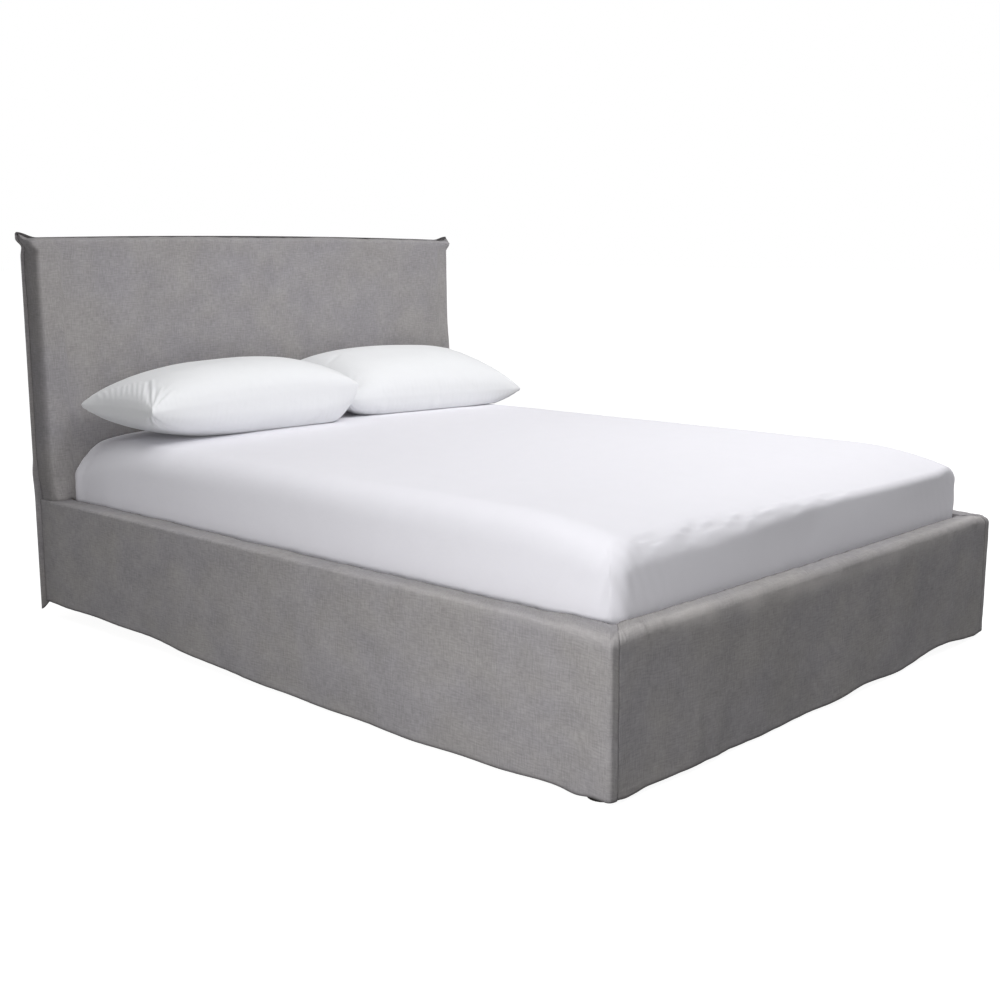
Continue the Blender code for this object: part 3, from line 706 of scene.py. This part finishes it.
def head_section(side, depth, share, z):
    """Half of the cover's section at one height, from the side seam to the middle. The
    near side turns sharply, the far one in a long soft bevel."""
    xs = float(seam_half_width(z, side))
    if side < 0:
        ax = mix(0.024, 0.013, smoothstep(0.75, 1.05, z))
        ay = min(0.92 * depth, ax)
    else:
        ax = mix(0.050, 0.110, smoothstep(0.62, 1.06, z))
        ay = min(0.95 * depth, mix(0.050, 0.068, smoothstep(0.62, 0.90, z)))
    ax = mix(ax, 0.016, smoothstep(0.5, 1.0, share))
    xs = mix(0.8405, xs, smoothstep(RAIL_TOP, 0.50, z))
    back = BACK_FACE - LOOSE - 0.0016 * smoothstep(1.06, 1.10, z)
    front = back - depth
    a = np.linspace(0, math.pi / 2, 24)
    line_x = np.concatenate([[xs], xs - ax + ax * np.cos(a), [0.0]])
    line_y = np.concatenate([[back], front + ay - ay * np.sin(a), [front]])
    return side * line_x, line_y


# Metres round from a side seam, in close cells where the cover turns its corner
near_steps = steps((0, 0.046, 12), (0.046, 0.10, 14), (0.10, 0.18, 12))
half = 130                                  # cells from a side seam to the middle
rise = 0.010                                # of the roll over the top, front to seam
low = RAIL_TOP + CLOTH + 0.0002             # just clear of the side panels on the rails
BEHIND_MATTRESS = 0.285                     # the front panel is tucked down to here
full_depth = HEAD_DEPTH - CLOTH - LOOSE
lip = 0.002                                 # depth left where the top seam closes
v = steps((0, 1, 92), (1, 2, 15))           # 0 to 1 up the front, 1 to 2 over the top
points = np.zeros((len(v), 2 * half + 1, 3))
s = np.zeros(points.shape[:2])
for j, row in enumerate(v):
    angle = max(0.0, row - 1) * math.pi / 2
    depth = lip + (full_depth - lip) * math.cos(angle)
    for side in (-1, 1):
        k = np.arange(half + 1)
        across = 0.857 * (1 - k / half) * side
        top = top_seam(across) - 0.0045
        level = mix(low, float(top[0]) - rise, min(1.0, row)) + rise * math.sin(angle)
        line_x, line_y = head_section(side, depth, max(0.0, row - 1), level)
        way = np.concatenate([[0], np.cumsum(np.hypot(np.diff(line_x), np.diff(line_y)))])
        spare = half + 1 - len(near_steps)
        at = np.concatenate([near_steps,
                             np.linspace(near_steps[-1], way[-1], spare + 1)[1:]])
        px, py = np.interp(at, way, line_x), np.interp(at, way, line_y)
        foot = mix(BEHIND_MATTRESS, low, smoothstep(0.7590, 0.7655, np.abs(px)))
        z = mix(foot, top - rise, min(1.0, row)) + rise * math.sin(angle)
        # Drawn forward low down, where it meets the side panels
        py = py - 0.012 * smoothstep(0.42, 0.355, z) * smoothstep(0.768, 0.80, np.abs(px))
        column = k if side < 0 else 2 * half - k
        points[j, column] = np.stack([px, py, z], 1)
        s[j, column] = side * (way[-1] - at)
t = np.vstack([np.zeros(points.shape[1]),
               np.cumsum(np.linalg.norm(np.diff(points, axis=0), axis=2), axis=0)])
relief = 0.0014 * drift(s + 9, t, 0.22, 41) + 0.0008 * drift(s * 1.5 + 9, t * 0.8, 0.09, 42)
relief += 0.0005 * drift(s * 1.3 + 9, t * 0.5, 0.035, 43)
near_top = smoothstep(0.10, 0.02, t[-1] - t)
relief += 0.0010 * near_top * drift(s + 9, t * 0.3, 0.022, 44)
points = raise_by(points, relief)
to_side = np.abs(np.abs(s) - np.abs(s[:, :1]))
# Painted shade along the top seam, a dark line down each side seam, and painted shade over the
# bands that turn round the sides.
seams_and_painted_light = (0.90 * bump(t[-1] - t, 0.0, 0.0060) + 0.45 * bump(to_side, 0.0, 0.0030)
           + 0.25 * smoothstep(full_depth + 0.006, full_depth - 0.006, to_side))
panel = cloth_grid("headboard_front_panel", points, s, t, "cover_headboard", -1.0,
                   seams_and_painted_light, even=False)

c = crowd(steps((-1, -0.93, 10), (-0.93, 0.93, 110), (0.93, 1, 10)), 0.6)
r = steps((0, 0.06, 8), (0.06, 0.90, 60), (0.90, 1, 20))
c, r = np.meshgrid(c, r)
side = np.sign(c) + (c == 0)
# The flange at both sides: wider beside the rails, narrow under the ears
level = mix(0.020, HEAD_TOP, r)
flange = mix(0.0175, 0.0105, smoothstep(0.42, 0.48, level))
flange -= 0.0045 * smoothstep(1.05, 1.10, level)
hem = mix(0.020, 0.046, smoothstep(1.0, 0.95, np.abs(c)))
z = mix(hem + 0.006 * np.sin(7 * c + 1.0) * (1 - np.abs(c)), top_seam(EAR_X * c), r)
half_w = mix(side_outer(HALF_L), seam_half_width(z, side), smoothstep(RAIL_TOP, 0.50, z))
half_w = half_w + flange - 0.004 * (r > 0.995)
points = np.stack([half_w * c, BACK_FACE + 0 * c, z], 2)
# Shallow swells all over, and folds that deepen towards the floor
calm = smoothstep(1.0, 0.93, np.abs(c)) * smoothstep(1.0, 0.96, r)
relief = calm * (0.0012 + 0.0012 * drift(c + 9, z, 0.20, 51)) + 0.0004 * drift(
    c * 2 + 9, z, 0.05, 52)
points[..., 1] += np.maximum(0, relief) + 0.003 * smoothstep(0.35, 0.02, z) * (
    1 + np.sin(8 * c + 0.5)) / 2 * smoothstep(1.0, 0.85, np.abs(c))
# Painted shade along the top edge, which shows above the front panel as a dark line.
seams_and_painted_light = 0.90 * smoothstep(0.012, 0.006, top_seam(EAR_X * c) - z)
panel = cloth_grid("headboard_back_panel", points, points[..., 0], z, "cover_back", -1.0,
                   seams_and_painted_light)

# ---- Pillows ----
# Two filled pillows in white percale covers, sewn with a knife edge. The fill swells
# the bag, which draws its sides in and gathers the cloth towards the corners.
pillow_percale = cotton_percale("white_percale_pillow", "E9EAEC", "E6E7E9")
NU, NV = 128, 70                            # cells along a pillow, and front to back
FRAMES = 24                                 # of cloth simulation
LONGER, DEEPER = 0.045, 0.070               # half the spare cloth in a case's cut
WRINKLE_LIMIT = 0.006
KNIFE_EDGE = 0.0030                         # thickness of a pillow at its seam


def smoothed(values, rounds):
    """Even out values over a grid, its rim included."""
    for _ in range(rounds):
        padded = np.pad(values, ((1, 1), (1, 1)) + ((0, 0),) * (values.ndim - 2), 'edge')
        values = (padded[1:-1, 1:-1] * 4 + padded[2:, 1:-1] + padded[:-2, 1:-1]
                  + padded[1:-1, 2:] + padded[1:-1, :-2]) / 8
    return values


def inflate(mesh, start, u, w, box, rim, half_w, half_d):
    """Swell a bag cut wider than its filled form, its seam held, and keep the wrinkles
    that this raises but not the swelling, which the form already has."""
    upper = box[:, 2] > 0
    trial = bpy.data.objects.new("trial", mesh.copy())
    bpy.context.scene.collection.objects.link(trial)
    write_points(trial.data, start)
    trial.shape_key_add(name="filled")
    flat = trial.shape_key_add(name="cut")
    ready = np.stack([u * (half_w + LONGER), w * (half_d + DEEPER),
                      np.where(upper, 0.5, -0.5) * KNIFE_EDGE], 1)
    flat.data.foreach_set("co", ready.astype(np.float32).reshape(-1))
    held = trial.vertex_groups.new(name="seam")
    held.add([int(i) for i in np.nonzero(rim)[0]], 1.0, 'REPLACE')
    cloth = trial.modifiers.new("cloth", 'CLOTH')
    cloth.settings.quality = 6
    cloth.settings.mass = 0.20
    cloth.settings.tension_stiffness = cloth.settings.compression_stiffness = 25
    cloth.settings.shear_stiffness = 8
    cloth.settings.bending_stiffness = 0.05
    cloth.settings.use_pressure = True
    cloth.settings.uniform_pressure_force = 4.0
    cloth.settings.effector_weights.gravity = 0.0
    cloth.settings.vertex_group_mass = "seam"
    cloth.settings.rest_shape_key = flat
    cloth.point_cache.frame_start, cloth.point_cache.frame_end = 1, FRAMES
    for number in range(1, FRAMES + 1):
        bpy.context.scene.frame_set(number)
    done = trial.evaluated_get(bpy.context.evaluated_depsgraph_get()).to_mesh()
    swollen = read_points(done)
    trial.to_mesh_clear()
    bpy.data.objects.remove(trial)
    bpy.context.scene.frame_set(1)
    move = swollen - start
    i = np.round((box[:, 0] + 1) * NU / 2).astype(int)
    j = np.round((box[:, 1] + 1) * NV / 2).astype(int)
    kept = np.zeros_like(move)
    for layer in (True, False):
        on = upper == layer
        moved = np.zeros((NU + 1, NV + 1, 3))
        moved[i[on], j[on]] = move[on]
        even = smoothed(moved, 60)
        kept[on] = (moved - even)[i[on], j[on]]
    far = np.linalg.norm(kept, axis=1, keepdims=True)
    return start + kept * np.minimum(1, WRINKLE_LIMIT / np.maximum(far, 1e-9))


def pillow(name, x, y, turn, half_w, half_d, seam_z, tilt, crown, drawn, belly, folds):
    """A filled bag with a knife edge, flat where it lies. tilt is how far its seam rises
    to the right, to the back and at the front left corner. drawn is how far its ends and
    long sides are drawn in. belly is its underside's power, how much fuller that is at the
    right end, and how blunt there. Each fold is (layer, u, w, u, w, width, height)."""
    mesh = to_mesh(name, even_box((NU, NV, 1)))
    box = read_points(mesh)
    u, w = crowd(box[:, 0], 0.6), crowd(box[:, 1], 0.5)
    upper = box[:, 2] > 0
    px = half_w * u * (1 - drawn[0] * (1 - w * w))
    py = half_d * w * (1 - drawn[1] * (1 - u * u))
    full = np.maximum(0, (1 - np.abs(u) ** 2.6) * (1 - np.abs(w) ** 2.4))
    corner = ((1 - u) * (1 - w) / 4) ** 3
    px = px + tilt[2] * corner
    seam = tilt[0] * u + tilt[1] * w + tilt[2] * corner
    blunt = mix(2.6, belly[2], smoothstep(0.1, 0.7, u))
    under = np.maximum(0, (1 - np.abs(u) ** blunt) * (1 - np.abs(w) ** 2.4))
    deep = (seam_z - SHEET_TOP) * 1.14 * (1 + belly[1] * u) * under ** belly[0]
    pz = np.where(upper, KNIFE_EDGE / 2 + crown * full ** 0.455, -KNIFE_EDGE / 2 - deep) + seam
    start = np.stack([px, py, pz], 1)
    rim = (np.abs(box[:, 0]) > 0.999) | (np.abs(box[:, 1]) > 0.999)
    start = inflate(mesh, start, u, w, box, rim, half_w, half_d)

    # Gathers fan out of the corners, the seam puckers, and the fill shows as soft lumps
    out = np.stack([0.4 * u ** 3, 0.4 * w ** 3, np.where(upper, 1.0, -1.0)], 1)
    out /= np.linalg.norm(out, axis=1, keepdims=True)
    in_u, in_w = (1 - np.abs(u)) * half_w, (1 - np.abs(w)) * half_d
    to_corner, turned = np.hypot(in_u, in_w), np.arctan2(in_w, in_u)
    which = 1.7 * np.sign(u) + 0.9 * np.sign(w) + 2.3 * upper
    gather = bump(to_corner, 0.0, 0.085) * smoothstep(0.0, 0.030, to_corner)
    ripple = 0.0017 * gather * np.sin(15 * turned + which + 2 * drift(u + 3, w + 3, 0.3, 61))
    along, inside = np.where(in_u < in_w, py, px), np.minimum(in_u, in_w)
    pucker = np.sin(2 * math.pi * along / 0.019 + 3 * drift(along + 3, which + 5, 0.08, 62))
    ripple += 0.0006 * np.exp(-inside / 0.014) * pucker * smoothstep(0.0, 0.002, inside)
    ripple += 0.0014 * drift(px + 3, py * 2 + 3 + upper, 0.11, 63) * full
    start += out * (ripple * ~rim)[:, None]
    for layer, u0, w0, u1, w1, wide, high in folds:
        height = crease(u * half_w, w * half_d, (u0 * half_w, w0 * half_d),
                        (u1 * half_w, w1 * half_d), wide, high)
        start += out * (height * (upper == (layer > 0)) * ~rim)[:, None]

    # Turned and laid on the sheet, which it can't sink into
    gx = x + start[:, 0] * math.cos(turn) - start[:, 1] * math.sin(turn)
    gy = y + start[:, 0] * math.sin(turn) + start[:, 1] * math.cos(turn)
    off_edge = 0.003 * smoothstep(0.55, 0.72, np.abs(gx))
    gz = np.maximum(sheet_height(gx, gy) + 0.0012 + off_edge, seam_z + start[:, 2])
    write_points(mesh, np.stack([gx, gy, gz], 1))
    obj = place(f"{name}_in_cover", mesh, pillow_percale, [name])
    mod = obj.modifiers.new("rounder", 'SUBSURF')
    mod.levels = mod.render_levels = 1


TOP, UNDER = 1, -1                          # layers of a pillow's case
pillow("pillow_left", -0.378, 0.784, 0.033, 0.382, 0.181, 0.651, (0.007, -0.006, -0.008),
       0.105, (0.038, 0.075), (0.36, 0.34, 7.0), (
           (TOP, -1.01, -1.00, -0.79, -0.26, 0.0042, 0.0046),
           (TOP, -1.03, -0.93, -0.82, -0.24, 0.0060, -0.0036),
           (TOP, -1.01, -1.00, -0.81, -0.66, 0.0040, 0.0042),
           (TOP, -1.00, -0.93, -0.85, -0.60, 0.0045, -0.0030),
           (TOP, -0.99, -1.00, -0.76, -0.84, 0.0045, 0.0026),
           (TOP, -0.89, 0.10, -0.98, -0.14, 0.0026, 0.0020),
           (TOP, -0.86, 0.05, -0.98, -0.32, 0.0026, 0.0022),
           (TOP, -0.85, -0.08, -0.99, -0.48, 0.0026, 0.0022),
           (TOP, -0.84, -0.22, -0.99, -0.62, 0.0028, 0.0022),
           (TOP, -0.84, -0.36, -0.99, -0.74, 0.0028, 0.0020),
           (TOP, -0.94, 0.62, -1.00, 0.35, 0.0026, 0.0018),
           (TOP, -0.92, 0.48, -1.00, 0.24, 0.0026, 0.0018),
           (TOP, -0.91, 0.34, -1.00, 0.10, 0.0026, 0.0018),
           (TOP, -0.89, 0.22, -0.99, -0.02, 0.0026, 0.0020),
           (TOP, -0.95, 0.76, -1.00, 0.52, 0.0026, 0.0018),
           (TOP, -0.97, -0.99, -0.40, -0.97, 0.0036, -0.0016),
           (TOP, -0.10, -0.99, 0.35, -0.80, 0.0160, 0.0016),
           (UNDER, -1.0, -0.92, -0.84, -0.62, 0.0042, 0.0046),
           (UNDER, -1.0, -0.86, -0.88, -0.50, 0.0050, -0.0030),
           (UNDER, -0.96, 0.40, -1.00, 0.10, 0.0030, 0.0020),
           (UNDER, -0.95, 0.20, -1.00, -0.15, 0.0030, 0.0020),
           (UNDER, -0.94, 0.00, -1.00, -0.40, 0.0030, 0.0020),
           (UNDER, 0.80, -1.00, 0.44, -0.90, 0.0100, 0.0035),
           (UNDER, 0.30, -1.00, 0.05, -0.93, 0.0120, 0.0025)))
pillow("pillow_right", 0.425, 0.835, -0.019, 0.405, 0.163, 0.637, (-0.011, 0.039, 0), 0.104,
       (0.047, 0.050), (0.45, 0.0, 2.6), (
           (TOP, -0.90, 0.06, -0.70, 0.22, 0.0080, -0.0026),
           (TOP, 0.75, -0.20, 0.89, -0.75, 0.0120, -0.0020),
           (UNDER, -0.68, -1.00, -0.58, -0.94, 0.0080, 0.0030),
           (UNDER, -0.08, -1.00, 0.02, -0.95, 0.0080, 0.0030)))

# ---- Studio ----
# A plain white floor under soft lamps: one over the foot, one low on the left, a weak one
# on the right, and even light from above. One more lights the back, and one the far side.
# The floor shines towards the camera alone, so that it stays white but lights no cloth.
scene = bpy.context.scene
scene.view_settings.view_transform = 'Standard'
paper, tree, shader = new_finish("white_floor_paint", Roughness=1.0, IOR=1.45,
                                 Specular_IOR_Level=0.0)
where = add_node(tree, "ShaderNodeTexCoord").outputs["Object"]
speck = add_node(tree, "ShaderNodeTexNoise", {"Vector": where, "Scale": 3.0}).outputs[0]
pale = add_node(tree, "ShaderNodeMix", {0: speck, 6: linear("949494"), 7: linear("969696")},
                data_type='RGBA').outputs[2]
tree.links.new(pale, shader.inputs["Base Color"])
seen = add_node(tree, "ShaderNodeLightPath").outputs["Is Camera Ray"]
glow = add_node(tree, "ShaderNodeMath", {0: seen, 1: 0.93}, operation='MULTIPLY').outputs[0]
tree.links.new(glow, shader.inputs["Emission Strength"])
shader.inputs["Emission Color"].default_value = (1.0, 1.0, 1.0, 1.0)
bm = bmesh.new()
bmesh.ops.create_grid(bm, x_segments=4, y_segments=4, size=60.0)
mesh = to_mesh("studio_floor", bm)
mesh.materials.append(paper)
floor = bpy.data.objects.new("studio_floor", mesh)
scene.collection.objects.link(floor)
floor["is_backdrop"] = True


def light(name, kind, power, at, aim, **sizes):
    """A lamp at one point, turned towards another."""
    data = bpy.data.lights.new(name, kind)
    data.energy = power
    for key, value in sizes.items():
        setattr(data, key, value)
    obj = bpy.data.objects.new(name, data)
    obj.location = at
    obj.rotation_euler = (obj.location - type(obj.location)(aim)).to_track_quat(
        'Z', 'Y').to_euler()
    scene.collection.objects.link(obj)


light("over_foot", 'AREA', 45.5, (0.35, -1.2, 3.0), (0.3, 1.0, 0.9), size=1.6)
light("low_left", 'AREA', 32.0, (-2.8, -1.4, 0.7), (-0.8, -0.7, 0.3), size=1.0)
light("right", 'AREA', 11.0, (2.2, 0.2, 2.0), (0.3, 1.0, 0.8), size=1.6)
light("above", 'SUN', 0.50, (0.0, 0.0, 4.0), (0, 0, 0), angle=math.radians(30))
light("above_foot", 'SUN', 0.34, (0.0, -1.0, 1.6), (0, 0, 0), angle=math.radians(40))
light("behind", 'AREA', 30.0, (-1.2, 4.2, 1.6), (0.0, 1.1, 0.6), size=2.0)
light("far_side", 'AREA', 18.0, (4.2, 0.6, 1.4), (0.9, 0.0, 0.2), size=2.0)

world = bpy.data.worlds.new("studio")
scene.world = world
world.use_nodes = True
tree = world.node_tree
sky = tree.nodes["Background"]
seen = add_node(tree, "ShaderNodeLightPath").outputs["Is Camera Ray"]
strength = add_node(tree, "ShaderNodeMapRange", {0: seen, 3: 0.20, 4: 1.0}).outputs[0]
sky.inputs["Color"].default_value = (1.0, 1.0, 1.0, 1.0)
tree.links.new(strength, sky.inputs["Strength"])

eye = bpy.data.cameras.new("eye")
eye.sensor_width, eye.lens = 36.0, 49.763
camera = bpy.data.objects.new("eye", eye)
camera.location = (-2.874, -2.6658, 1.0856)
camera.rotation_euler = (math.radians(79.674), 0.0, math.radians(-47.157))
scene.collection.objects.link(camera)
scene.camera = camera

low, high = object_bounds()
